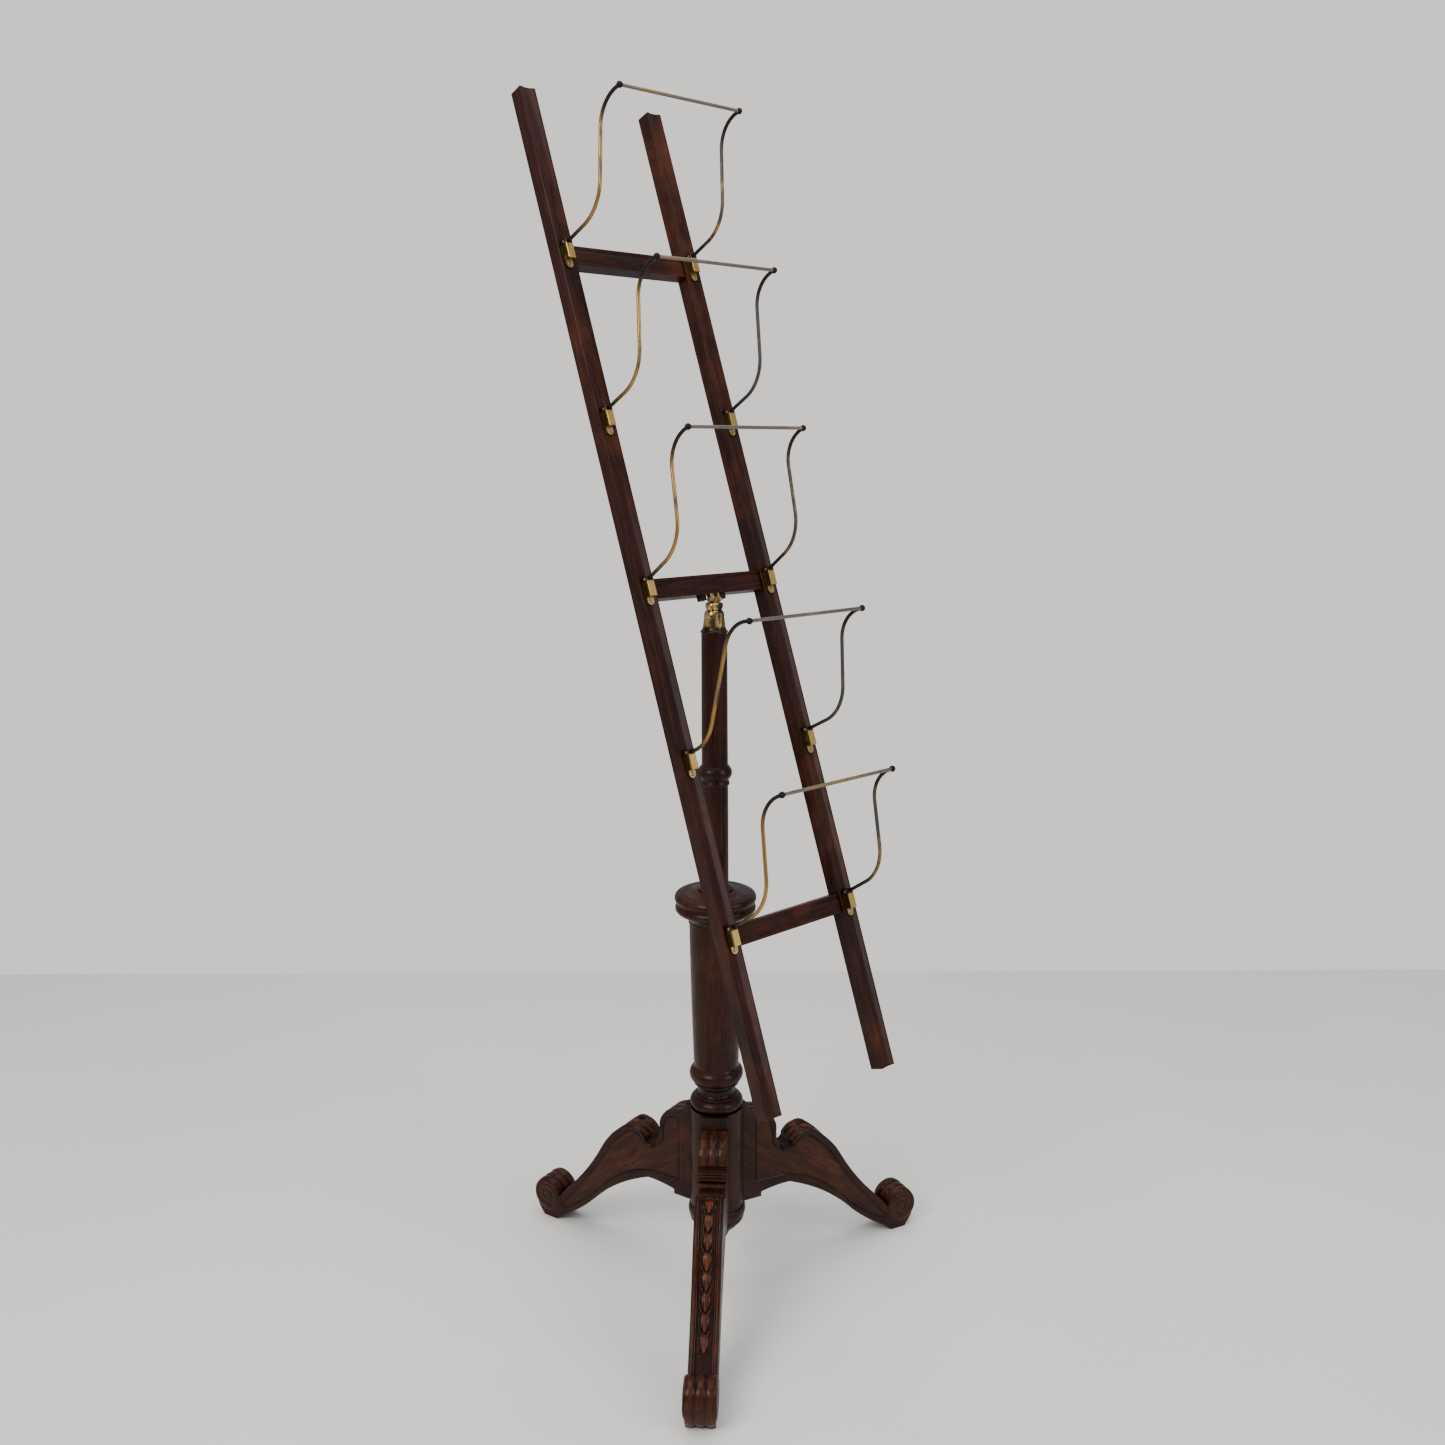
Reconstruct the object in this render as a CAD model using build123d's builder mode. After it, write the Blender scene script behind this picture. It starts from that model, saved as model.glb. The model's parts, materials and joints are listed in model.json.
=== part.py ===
from build123d import *
from math import cos, radians, sin, tan
import os

# Rotating display rack: a leaning ladder with five wire bails, on a turned post and a carved
# tripod. Millimetres, +Z up. The ladder faces -Y. The origin is on the floor under the middle of
# the whole rack, and the swivel axis stands at SWIVEL_X, SWIVEL_Y.

os.makedirs("parts", exist_ok=True)

# ---- where things stand ----
SWIVEL_X = -38.0
SWIVEL_Y = -44.0
PIVOT_Z = 1069.5  # height of the tilt bolt
LEAN = 20.7  # the ladder's lean from upright, degrees
SKEW = 0.57  # how far the ladder hangs out of square on its fork, degrees
LEG_ANGLES = {1: -136.1, 2: -16.1, 3: 103.9}

# ---- tripod ----
HUB_RADIUS = 41.0
HUB_BOTTOM = 129.0
HUB_TOP = 293.0
LEG_WIDTH = 42.0
FOOT_WIDTH = 47.0
FOOT_CENTRE = (331.0, 41.0)  # radius and height of the foot scroll
FOOT_RADIUS = 26.0
DOWEL_RADIUS = 5.0
DOWEL_HEIGHTS = (165.0, 235.0)
DOWEL_DEPTH = 18.0  # into the hub, and the same into the leg

# ---- turned post ----
SPIGOT_RADIUS = 15.0
COLLAR_TOP = 640.0
POST_TOP = 1022.0
TENON_RADIUS = 9.0
TENON_TOP = 1038.0
BELL_TOP = 1055.0
SPINDLE_RADIUS = 4.0
SPINDLE_BOTTOM = 1003.0
RUNNING_FIT = 0.05  # radial clearance where something turns
RING_BOTTOM = BELL_TOP + 0.3
RING_TOP = 1065.0

# ---- tilt hinge ----
BOLT_RADIUS = 2.0
TONGUE_RADIUS = 3.9
TONGUE_HALF = 4.4
EAR_RADIUS = 4.0
EAR_INNER = 4.7
EAR_THICKNESS = 3.6
PLATE_THICKNESS = 2.0
BLOCK_HALF = 23.5
NOTCH_HALF = 13.0
BLOCK_TOP = 20.0
BLOCK_BOTTOM = 0.5
BLOCK_BACK = -9.0

# ---- ladder: across (X), up the ladder, and out of its front, from the tilt bolt ----
LADDER_SHIFT = -4.75  # the ladder hangs a little to one side of the swivel
STILE_SPACING = 227.5
STILE_WIDTH = 26.5
STILE_FRONT = 6.0
STILE_BACK = -17.0
STILE_TOP = 747.0
STILE_BOTTOM = -703.0
COVE_HALF = 10.0
COVE_DEPTH = 1.8
RAIL_FRONT = 3.0
RAIL_HEIGHT = 28.0
RAIL_BOTTOMS = {"top": 488.6, "middle": 8.3, "bottom": -474.5}
TENON_LENGTH = 12.0
TENON_FRONT = -3.0
TENON_BACK = -11.0
TENON_SHOULDER = 4.0

# ---- brackets, measured up from the bottom of each tab ----
TIERS = range(1, 6)
TOP_TAB = 482.0
TIER_PITCH = 241.0
SEAT = STILE_FRONT - COVE_DEPTH  # brackets are let in to the bottom of the cove
BLOCK_WIDTH = 11.8
BRACKET_HEIGHT = 38.5
TAB_RADIUS = 5.5
TAB_HEIGHT = 10.5
TAB_THICKNESS = 2.4
BRACKET_FRONT = 16.0
SLOT_WIDTH = 6.6
SLOT_FLOOR = 30.5
LIP_THICKNESS = 1.2
PIN_HEIGHT = 34.5
PIN_FRONT = 11.0
PIN_RADIUS = 1.5
SCREW_RADIUS = 1.45
SCREW_HOLE = 1.5
SCREW_LENGTH = 8.0  # from the face of the tab

# ---- bails: wire bent in a plane; distances are along and out from the line of the opening angle
OPEN_ANGLES = {1: 50.7, 2: 47.0, 3: 39.9, 4: 49.4, 5: 42.5}
WIRE_RADIUS = 2.6
BAR_RADIUS = 2.4
EYE_RADIUS = 3.4
EYE_WIDTH = 6.0
KNOB_RADIUS = 4.5
BAR_GAP = WIRE_RADIUS + 0.3  # between an arm's centre line and the end of the bar
REACH = 214.8  # from the pin to a knob
WIRE_END = 6.0  # the straight end that the knob is fitted on
# start angle, then straight, bend radius, bend angle, straight, bend radius, bend angle
WIRE = (33.7, 42.3, 60.6, -63.9, 64.9, 46.0, 74.0)
ODD_WIRE = (39.7, 6.0, 59.6, -56.6, 108.3, 44.0, 69.2)
ODD_ARM = (4, "left")  # this one has been bent flatter than the rest
LEAN_IN = 8.0  # how far the arms close in by the time they reach the bar

SIDES = {"left": -1, "right": 1}

# ---- planes ----
lean_sin = sin(radians(LEAN))
lean_cos = cos(radians(LEAN))
OUT_OF_LADDER = Vector(0, -lean_cos, lean_sin)
UP_LADDER = Vector(0, lean_sin, lean_cos).rotate(Axis((0, 0, 0), OUT_OF_LADDER), -SKEW)
ACROSS = UP_LADDER.cross(OUT_OF_LADDER)
TURNING = Plane(origin=(SWIVEL_X, SWIVEL_Y, 0), x_dir=(1, 0, 0), z_dir=(0, -1, 0))
SWIVEL_AXIS = Axis((SWIVEL_X, SWIVEL_Y, 0), (0, 0, 1))
LADDER = Plane(origin=(SWIVEL_X, SWIVEL_Y, PIVOT_Z), x_dir=ACROSS, z_dir=OUT_OF_LADDER)


def level(height):
    """A horizontal plane centred on the swivel axis."""
    return Plane((SWIVEL_X, SWIVEL_Y, height))


def ladder_point(across, up, out):
    return LADDER.from_local_coords(Vector(across, up, out))


def cross_plane(across, up=0.0, out=0.0):
    """A plane square to the rails: its x runs up the ladder and its y out of the ladder's front."""
    return Plane(origin=ladder_point(across, up, out), x_dir=UP_LADDER, z_dir=ACROSS)


def outline(points):
    """Draws a closed outline. A point with a third value is reached by an arc of that sagitta."""
    for start, end in zip(points, points[1:] + points[:1]):
        if len(end) == 3:
            SagittaArc(start[:2], end[:2], end[2])
        else:
            Line(start[:2], end[:2])


def turned(points):
    """A piece turned about the swivel axis from its half outline of radius and height."""
    with BuildPart() as piece:
        with BuildSketch(TURNING):
            with BuildLine():
                outline(points)
            make_face()
        revolve(axis=SWIVEL_AXIS)
    return piece


def box_at(low, high, mode):
    """A box in the ladder's own directions, between two corners (across, up, out)."""
    size = [b - a for a, b in zip(low, high)]
    middle = [(a + b) / 2 for a, b in zip(low, high)]
    with Locations(LADDER):
        with Locations(Location(middle)):
            Box(*size, mode=mode)


def save(builder, name):
    builder.part.label = name
    export_step(builder.part, f"parts/{name}.step")


# ---- tripod ----
def leg_plane(angle):
    """An upright plane through the swivel axis along a leg: x is radius, y is height."""
    a = radians(angle)
    return Plane(origin=(SWIVEL_X, SWIVEL_Y, 0), x_dir=(cos(a), sin(a), 0), z_dir=(sin(a), -cos(a), 0))


LEG_OUTLINE = [
    (25.0, 129.0),
    (25.0, 293.0),
    (44.5, 293.0),
    (46.5, 278.5),
    (66.0, 273.2),
    (95.0, 243.0, 7.4),  # hump beside the column
    (95.0, 216.0),
    (101.0, 211.0),
    (124.0, 208.0, -13.0),  # notch behind the knee scroll
    (168.0, 215.0, 11.0),  # knee scroll
    (212.0, 166.0, 3.5),
    (283.0, 72.0, -4.0),
    (305.5, 46.0),
    (357.0, 41.0, 26.5),  # foot scroll
    (350.0, 13.0, 2.0),
    (340.0, 0.0),
    (314.0, 0.0),
    (290.0, 18.0),
    (235.0, 61.0, 2.0),
    (118.0, 141.0, -8.0),  # arch under the leg
    (68.0, 136.5, -1.5),
    (68.0, 129.0),
]


def dowels(angle, radius, inner, outer, mode):
    """The round pegs that pin one leg to the hub, from one radius to another."""
    a = radians(angle)
    direction = Vector(cos(a), sin(a), 0)
    for height in DOWEL_HEIGHTS:
        start = Vector(SWIVEL_X, SWIVEL_Y, height) + direction * inner
        with Locations(Plane(origin=start, z_dir=direction)):
            Cylinder(radius, outer - inner, align=(Align.CENTER, Align.CENTER, Align.MIN), mode=mode)


def make_leg(angle):
    with BuildPart() as leg:
        with BuildSketch(leg_plane(angle)):
            with BuildLine():
                outline(LEG_OUTLINE)
            make_face()
        extrude(amount=LEG_WIDTH / 2, both=True)
        with BuildSketch(leg_plane(angle)):
            with Locations(FOOT_CENTRE):
                Circle(FOOT_RADIUS)
        extrude(amount=FOOT_WIDTH / 2, both=True)
        with BuildSketch(level(0)):
            Circle(HUB_RADIUS)
        extrude(amount=HUB_TOP + 50, mode=Mode.SUBTRACT)
        dowels(angle, DOWEL_RADIUS, 0, HUB_RADIUS + DOWEL_DEPTH, Mode.SUBTRACT)
    return leg


for number, leg_angle in LEG_ANGLES.items():
    save(make_leg(leg_angle), f"leg_{number}")

with BuildPart() as leg_dowels:
    for leg_angle in LEG_ANGLES.values():
        dowels(leg_angle, DOWEL_RADIUS, HUB_RADIUS - DOWEL_DEPTH, HUB_RADIUS + DOWEL_DEPTH, Mode.ADD)
save(leg_dowels, "leg_dowels")

with BuildPart() as hub:
    with BuildSketch(level(HUB_BOTTOM)):
        Circle(HUB_RADIUS)
    extrude(amount=HUB_TOP - HUB_BOTTOM)
    with BuildSketch(level(HUB_TOP)):
        Circle(SPIGOT_RADIUS)
    extrude(amount=-60, mode=Mode.SUBTRACT)
    with BuildSketch(level(HUB_BOTTOM)):
        Circle(9)
    extrude(amount=25, mode=Mode.SUBTRACT)
    for leg_angle in LEG_ANGLES.values():
        dowels(leg_angle, DOWEL_RADIUS, HUB_RADIUS - DOWEL_DEPTH, HUB_RADIUS + 1, Mode.SUBTRACT)
save(hub, "hub")

base_finial = turned([
    (0, 68), (12, 70, -1.5), (18.5, 78, -1.5), (23.5, 86), (24, 90), (28, 92), (35, 99, -1.5),
    (42, 112, -2.5), (42, 129, -2.5), (9, 129), (9, 153), (0, 153),
])
save(base_finial, "base_finial")

# ---- turned post ----
column = turned([
    (0, HUB_TOP - 59), (SPIGOT_RADIUS, HUB_TOP - 59), (SPIGOT_RADIUS, HUB_TOP), (36.5, HUB_TOP),
    (33.8, 311, -5.4), (32.5, 311.5), (32, 314, -0.5), (27.2, 319, 1.2),
    (27.2, 323), (32.5, 330.5, 1.6), (33.5, 331), (33.5, 336, -1.4), (37, 337.5),
    (35.4, 358, -4.7), (34, 361), (39.2, 588, -0.8), (40.5, 591, -0.6), (40.5, 594),
    (56.5, 606, 3.0), (57.5, 617.5, -3.0), (57, 619.5), (57.5, 621), (57, 634, -3.6),
    (48, 636.5), (29, 639.5, 1.0), (26, COLLAR_TOP), (SPIGOT_RADIUS, COLLAR_TOP),
    (SPIGOT_RADIUS, COLLAR_TOP - 50), (0, COLLAR_TOP - 50),
])
save(column, "column")

upper_post = turned([
    (0, COLLAR_TOP - 49), (SPIGOT_RADIUS, COLLAR_TOP - 49), (SPIGOT_RADIUS, COLLAR_TOP),
    (25.5, COLLAR_TOP), (25.5, COLLAR_TOP + 3, -1.2), (19.5, COLLAR_TOP + 14, 2.5),
    (19.3, 799), (21, 800.5, -0.6), (21, 804, -0.6), (20.2, 806.5), (20.8, 808.5), (20.8, 827.5, -4.3),
    (19.2, 829.5), (18.6, POST_TOP), (TENON_RADIUS, POST_TOP), (TENON_RADIUS, TENON_TOP),
    (SPINDLE_RADIUS + 0.6, TENON_TOP), (SPINDLE_RADIUS + 0.6, SPINDLE_BOTTOM - 1), (0, SPINDLE_BOTTOM - 1),
])
save(upper_post, "upper_post")

spindle_bore = SPINDLE_RADIUS + RUNNING_FIT
bell_ferrule = turned([
    (TENON_RADIUS, POST_TOP), (18.6, POST_TOP), (18.6, 1026, -1.1), (17.6, 1027),
    (15.9, 1033.5, 0.5), (14.2, 1045), (10.6, BELL_TOP, -1.6), (spindle_bore, BELL_TOP),
    (spindle_bore, TENON_TOP), (TENON_RADIUS, TENON_TOP),
])
save(bell_ferrule, "bell_ferrule")

# ---- swivel head ----
swivel_spindle = turned([
    (0, SPINDLE_BOTTOM), (SPINDLE_RADIUS - 1, SPINDLE_BOTTOM), (SPINDLE_RADIUS, SPINDLE_BOTTOM + 1),
    (SPINDLE_RADIUS, RING_TOP), (0, RING_TOP),
])
save(swivel_spindle, "swivel_spindle")

swivel_collar = turned([
    (SPINDLE_RADIUS, RING_BOTTOM), (10.8, RING_BOTTOM), (12.6, 1061, -0.5), (11.3, RING_TOP, -0.7),
    (SPINDLE_RADIUS, RING_TOP),
])
save(swivel_collar, "swivel_collar")

# upright, with its width along the tilt bolt
tongue_plane = Plane(origin=ladder_point(0, 0, 0), x_dir=ACROSS, z_dir=ACROSS.cross(Vector(0, 0, 1)))
with BuildPart() as tilt_tongue:
    with BuildSketch(tongue_plane):
        with Locations((0, RING_TOP - PIVOT_Z)):
            Rectangle(2 * TONGUE_HALF, 2 * (PIVOT_Z - RING_TOP))
    extrude(amount=TONGUE_RADIUS, both=True)
    with BuildSketch(cross_plane(0)):
        Circle(TONGUE_RADIUS)
    extrude(amount=TONGUE_HALF, both=True)
    with BuildSketch(cross_plane(0)):
        Circle(BOLT_RADIUS + RUNNING_FIT)
    extrude(amount=TONGUE_HALF + 1, both=True, mode=Mode.SUBTRACT)
    with BuildSketch(level(RING_TOP)):
        Rectangle(40, 40)
    extrude(amount=-20, mode=Mode.SUBTRACT)
save(tilt_tongue, "tilt_tongue")


# ---- ladder frame ----
def tab_bottom(tier):
    return TOP_TAB - TIER_PITCH * (tier - 1)


def stile_middle(sign):
    return LADDER_SHIFT + sign * STILE_SPACING / 2


def make_stile(sign):
    middle = stile_middle(sign)
    half = STILE_WIDTH / 2
    section = Plane(origin=ladder_point(middle, STILE_TOP, 0), x_dir=ACROSS, z_dir=-UP_LADDER)
    with BuildPart() as stile:
        with BuildSketch(section):
            with BuildLine():
                outline([
                    (-half, STILE_BACK), (half, STILE_BACK), (half, STILE_FRONT),
                    (COVE_HALF, STILE_FRONT), (-COVE_HALF, STILE_FRONT, COVE_DEPTH),
                    (-half, STILE_FRONT),
                ])
            make_face()
        extrude(amount=STILE_TOP - STILE_BOTTOM)
        # beads of the moulding are eased along the stile
        chamfer(stile.edges().filter_by(Axis(ladder_point(0, 0, 0), UP_LADDER)), length=0.6)
        inner = middle - sign * half
        for bottom in RAIL_BOTTOMS.values():
            edges = sorted((inner, inner + sign * TENON_LENGTH))
            box_at((edges[0], bottom + TENON_SHOULDER, TENON_BACK),
                   (edges[1], bottom + RAIL_HEIGHT - TENON_SHOULDER, TENON_FRONT), Mode.SUBTRACT)
        for tier in TIERS:
            low = tab_bottom(tier)
            box_at((middle - BLOCK_WIDTH / 2, low, SEAT),
                   (middle + BLOCK_WIDTH / 2, low + BRACKET_HEIGHT, STILE_FRONT + 1), Mode.SUBTRACT)
            with BuildSketch(LADDER.offset(SEAT)):
                with Locations((middle, low + TAB_RADIUS)):
                    Circle(SCREW_HOLE)
            extrude(amount=TAB_THICKNESS - SCREW_LENGTH - 0.5, mode=Mode.SUBTRACT)
    return stile


def make_rail(bottom, housed=False):
    half = STILE_SPACING / 2 - STILE_WIDTH / 2
    top = bottom + RAIL_HEIGHT
    with BuildPart() as rail:
        with BuildSketch(cross_plane(LADDER_SHIFT)):
            with BuildLine():
                outline([
                    (bottom, STILE_BACK), (top, STILE_BACK), (top, RAIL_FRONT), (top - 3.5, RAIL_FRONT),
                    (top - 4.5, RAIL_FRONT - 1.2), (bottom + 4.5, RAIL_FRONT - 1.2, -0.8),
                    (bottom + 3.5, RAIL_FRONT), (bottom, RAIL_FRONT),
                ])
            make_face()
        extrude(amount=half, both=True)
        box_at((LADDER_SHIFT - half - TENON_LENGTH, bottom + TENON_SHOULDER, TENON_BACK),
               (LADDER_SHIFT + half + TENON_LENGTH, top - TENON_SHOULDER, TENON_FRONT), Mode.ADD)
        if housed:
            box_at((-BLOCK_HALF, bottom, STILE_BACK), (BLOCK_HALF, BLOCK_TOP, 0), Mode.SUBTRACT)
    return rail


for side, sign in SIDES.items():
    save(make_stile(sign), f"stile_{side}")
for place, rail_bottom in RAIL_BOTTOMS.items():
    save(make_rail(rail_bottom, housed=place == "middle"), f"rail_{place}")

# ---- hinge: cleat, fork, bolt ----
PLATE_TOP = RAIL_BOTTOMS["middle"] + PLATE_THICKNESS
HINGE_SCREWS = [(-10.2, -5.0), (10.2, -5.0)]  # across and out
BOLT_END = EAR_INNER + EAR_THICKNESS
hinge_up = Plane(origin=ladder_point(0, RAIL_BOTTOMS["middle"], 0), x_dir=ACROSS, z_dir=-UP_LADDER)

with BuildPart() as hinge_block:
    box_at((-BLOCK_HALF, BLOCK_BOTTOM, BLOCK_BACK), (BLOCK_HALF, BLOCK_TOP, 0), Mode.ADD)
    box_at((-BLOCK_HALF, RAIL_BOTTOMS["middle"], STILE_BACK), (BLOCK_HALF, BLOCK_TOP, BLOCK_BACK), Mode.ADD)
    box_at((-NOTCH_HALF, BLOCK_BOTTOM, STILE_BACK), (NOTCH_HALF, PLATE_TOP, 0), Mode.SUBTRACT)
    with BuildSketch(hinge_up):
        with Locations(*HINGE_SCREWS):
            Circle(1.3)
    extrude(amount=-9, mode=Mode.SUBTRACT)
save(hinge_block, "hinge_block")

with BuildPart() as hinge_fork:
    box_at((-NOTCH_HALF, RAIL_BOTTOMS["middle"], BLOCK_BACK), (NOTCH_HALF, PLATE_TOP, 0), Mode.ADD)
    for sign in SIDES.values():
        inner, outer = sorted((sign * EAR_INNER, sign * BOLT_END))
        box_at((inner, 0, -EAR_RADIUS), (outer, RAIL_BOTTOMS["middle"], EAR_RADIUS), Mode.ADD)
        with BuildSketch(cross_plane(inner)):
            Circle(EAR_RADIUS)
        extrude(amount=EAR_THICKNESS)
    with BuildSketch(cross_plane(-BOLT_END)):
        Circle(BOLT_RADIUS)
    extrude(amount=2 * BOLT_END, mode=Mode.SUBTRACT)
    with BuildSketch(hinge_up):
        with Locations(*HINGE_SCREWS):
            Circle(1.3)
    extrude(amount=-PLATE_THICKNESS, mode=Mode.SUBTRACT)
save(hinge_fork, "hinge_fork")

with BuildPart() as hinge_screws:
    with BuildSketch(hinge_up):
        with Locations(*HINGE_SCREWS):
            Circle(1.25)
    extrude(amount=-9)
save(hinge_screws, "hinge_screws")

with BuildPart() as tilt_bolt:
    with BuildSketch(cross_plane(-BOLT_END)):
        Circle(BOLT_RADIUS)
    extrude(amount=2 * BOLT_END + 3.5)
    with BuildSketch(cross_plane(-BOLT_END)):
        Circle(3.6)
    extrude(amount=-2.2)
    fillet(tilt_bolt.faces().sort_by(Axis.X)[0].edges(), radius=0.8)
save(tilt_bolt, "tilt_bolt")

with BuildPart() as tilt_nut:
    with BuildSketch(cross_plane(BOLT_END)):
        RegularPolygon(radius=3.9, side_count=6)
        Circle(BOLT_RADIUS, mode=Mode.SUBTRACT)
    extrude(amount=2.8)
save(tilt_nut, "tilt_nut")


# ---- brackets, their screws and pins ----
def wire_shape(tier, side):
    return ODD_WIRE if (tier, side) == ODD_ARM else WIRE


def rest_lip(tier, side):
    """Height of the slot's front lip, which the wire rests on when its bail is open."""
    leaving = radians(OPEN_ANGLES[tier] + wire_shape(tier, side)[0])
    reach = BRACKET_FRONT - LIP_THICKNESS - PIN_FRONT
    return PIN_HEIGHT + reach / tan(leaving) - WIRE_RADIUS / sin(leaving) - 0.3


def make_bracket(tier, side):
    middle = stile_middle(SIDES[side])
    low = tab_bottom(tier)
    half = BLOCK_WIDTH / 2
    slot = SLOT_WIDTH / 2
    with BuildPart() as bracket:
        with BuildSketch(LADDER.offset(SEAT)):
            with Locations((middle, low + TAB_RADIUS)):
                Circle(TAB_RADIUS)
            with Locations((middle, low + (TAB_RADIUS + TAB_HEIGHT) / 2)):
                Rectangle(2 * TAB_RADIUS, TAB_HEIGHT - TAB_RADIUS)
        extrude(amount=TAB_THICKNESS)
        box_at((middle - half, low + TAB_HEIGHT, SEAT),
               (middle + half, low + BRACKET_HEIGHT, BRACKET_FRONT), Mode.ADD)
        front = bracket.faces().sort_by(Axis(ladder_point(0, 0, 0), OUT_OF_LADDER))[-1]
        chamfer(front.edges(), length=0.7)
        box_at((middle - slot, low + SLOT_FLOOR, PIN_FRONT - EYE_RADIUS - 0.4),
               (middle + slot, low + BRACKET_HEIGHT + 1, BRACKET_FRONT + 1), Mode.SUBTRACT)
        box_at((middle - slot, low + SLOT_FLOOR, BRACKET_FRONT - LIP_THICKNESS),
               (middle + slot, low + rest_lip(tier, side), BRACKET_FRONT), Mode.ADD)
        with BuildSketch(cross_plane(middle - half, low + PIN_HEIGHT, PIN_FRONT)):
            Circle(PIN_RADIUS)
        extrude(amount=BLOCK_WIDTH, mode=Mode.SUBTRACT)
        with BuildSketch(LADDER.offset(SEAT)):
            with Locations((middle, low + TAB_RADIUS)):
                Circle(SCREW_HOLE)
        extrude(amount=TAB_THICKNESS, mode=Mode.SUBTRACT)
    return bracket


for side in SIDES:
    for tier in TIERS:
        save(make_bracket(tier, side), f"bracket_{side}_{tier}")

FIXINGS = [(stile_middle(sign), tab_bottom(tier)) for sign in SIDES.values() for tier in TIERS]
HEAD_RADIUS = 3.4
HEAD_RISE = 1.4
PIN_HEAD_RADIUS = 2.3
PIN_HEAD_LENGTH = 1.3

with BuildPart() as bracket_screws:
    for middle, low in FIXINGS:
        seat = low + TAB_RADIUS
        with BuildSketch(LADDER.offset(SEAT + TAB_THICKNESS)):
            with Locations((middle, seat)):
                Circle(HEAD_RADIUS)
        extrude(amount=HEAD_RISE, taper=25)
        with BuildSketch(LADDER.offset(SEAT + TAB_THICKNESS)):
            with Locations((middle, seat)):
                Circle(SCREW_RADIUS)
        extrude(amount=-SCREW_LENGTH)
        box_at((middle - HEAD_RADIUS, seat - 0.4, SEAT + TAB_THICKNESS + HEAD_RISE - 0.8),
               (middle + HEAD_RADIUS, seat + 0.4, SEAT + TAB_THICKNESS + HEAD_RISE), Mode.SUBTRACT)
save(bracket_screws, "bracket_screws")

with BuildPart() as bail_pins:
    for middle, low in FIXINGS:
        for sign in SIDES.values():
            face = middle + sign * BLOCK_WIDTH / 2
            with BuildSketch(cross_plane(face, low + PIN_HEIGHT, PIN_FRONT)):
                Circle(PIN_HEAD_RADIUS)
            extrude(amount=sign * PIN_HEAD_LENGTH, taper=12)
        with BuildSketch(cross_plane(middle - BLOCK_WIDTH / 2, low + PIN_HEIGHT, PIN_FRONT)):
            Circle(PIN_RADIUS)
        extrude(amount=BLOCK_WIDTH)
save(bail_pins, "bail_pins")


# ---- bails ----
def arm_plane(tier, sign):
    """The plane an arm is bent in: x towards the knob, y to the side its belly swings out to."""
    a = radians(OPEN_ANGLES[tier])
    lean_in = ACROSS * (-sign * LEAN_IN / REACH)
    along = (UP_LADDER * cos(a) + OUT_OF_LADDER * sin(a) + lean_in).normalized()
    normal = (ACROSS - along * ACROSS.dot(along)).normalized()
    pin = ladder_point(stile_middle(sign), tab_bottom(tier) + PIN_HEIGHT, PIN_FRONT)
    return Plane(origin=pin, x_dir=along, z_dir=normal)


def wire_line(tier, side):
    """The centre line of an arm, from its pin to its knob."""
    start, near, belly_radius, belly_bend, far, waist_radius, waist_bend = wire_shape(tier, side)
    with BuildLine(arm_plane(tier, SIDES[side])) as path:
        foot = PolarLine((0, 0), near, start)
        belly = JernArc(foot @ 1, foot % 1, belly_radius, belly_bend)
        shin = Line(belly @ 1, (belly @ 1) + (belly % 1) * far)
        waist = JernArc(shin @ 1, shin % 1, waist_radius, waist_bend)
        Line(waist @ 1, (waist @ 1) + (waist % 1) * WIRE_END)
    return path


def make_arm(tier, side):
    middle = stile_middle(SIDES[side])
    height = tab_bottom(tier) + PIN_HEIGHT
    path = wire_line(tier, side)
    with BuildPart() as arm:
        with BuildSketch(path.line ^ 0):
            Circle(WIRE_RADIUS)
        sweep(path=path.line)
        with BuildSketch(cross_plane(middle - EYE_WIDTH / 2, height, PIN_FRONT)):
            Circle(EYE_RADIUS)
        extrude(amount=EYE_WIDTH)
        for start, reach in ((middle - EYE_WIDTH / 2, -1), (middle + EYE_WIDTH / 2, 1)):
            with BuildSketch(cross_plane(start, height, PIN_FRONT)):
                Circle(EYE_RADIUS)
            extrude(amount=reach, mode=Mode.SUBTRACT)
        with BuildSketch(cross_plane(middle - EYE_WIDTH, height, PIN_FRONT)):
            Circle(PIN_RADIUS + RUNNING_FIT)
        extrude(amount=2 * EYE_WIDTH, mode=Mode.SUBTRACT)
    return arm


def make_bar(tips):
    direction = (tips[1] - tips[0]).normalized()
    with BuildPart() as bar:
        with BuildSketch(Plane(origin=tips[0] + direction * BAR_GAP, z_dir=direction)):
            Circle(BAR_RADIUS)
        extrude(amount=(tips[1] - tips[0]).length - 2 * BAR_GAP)
    return bar


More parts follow.
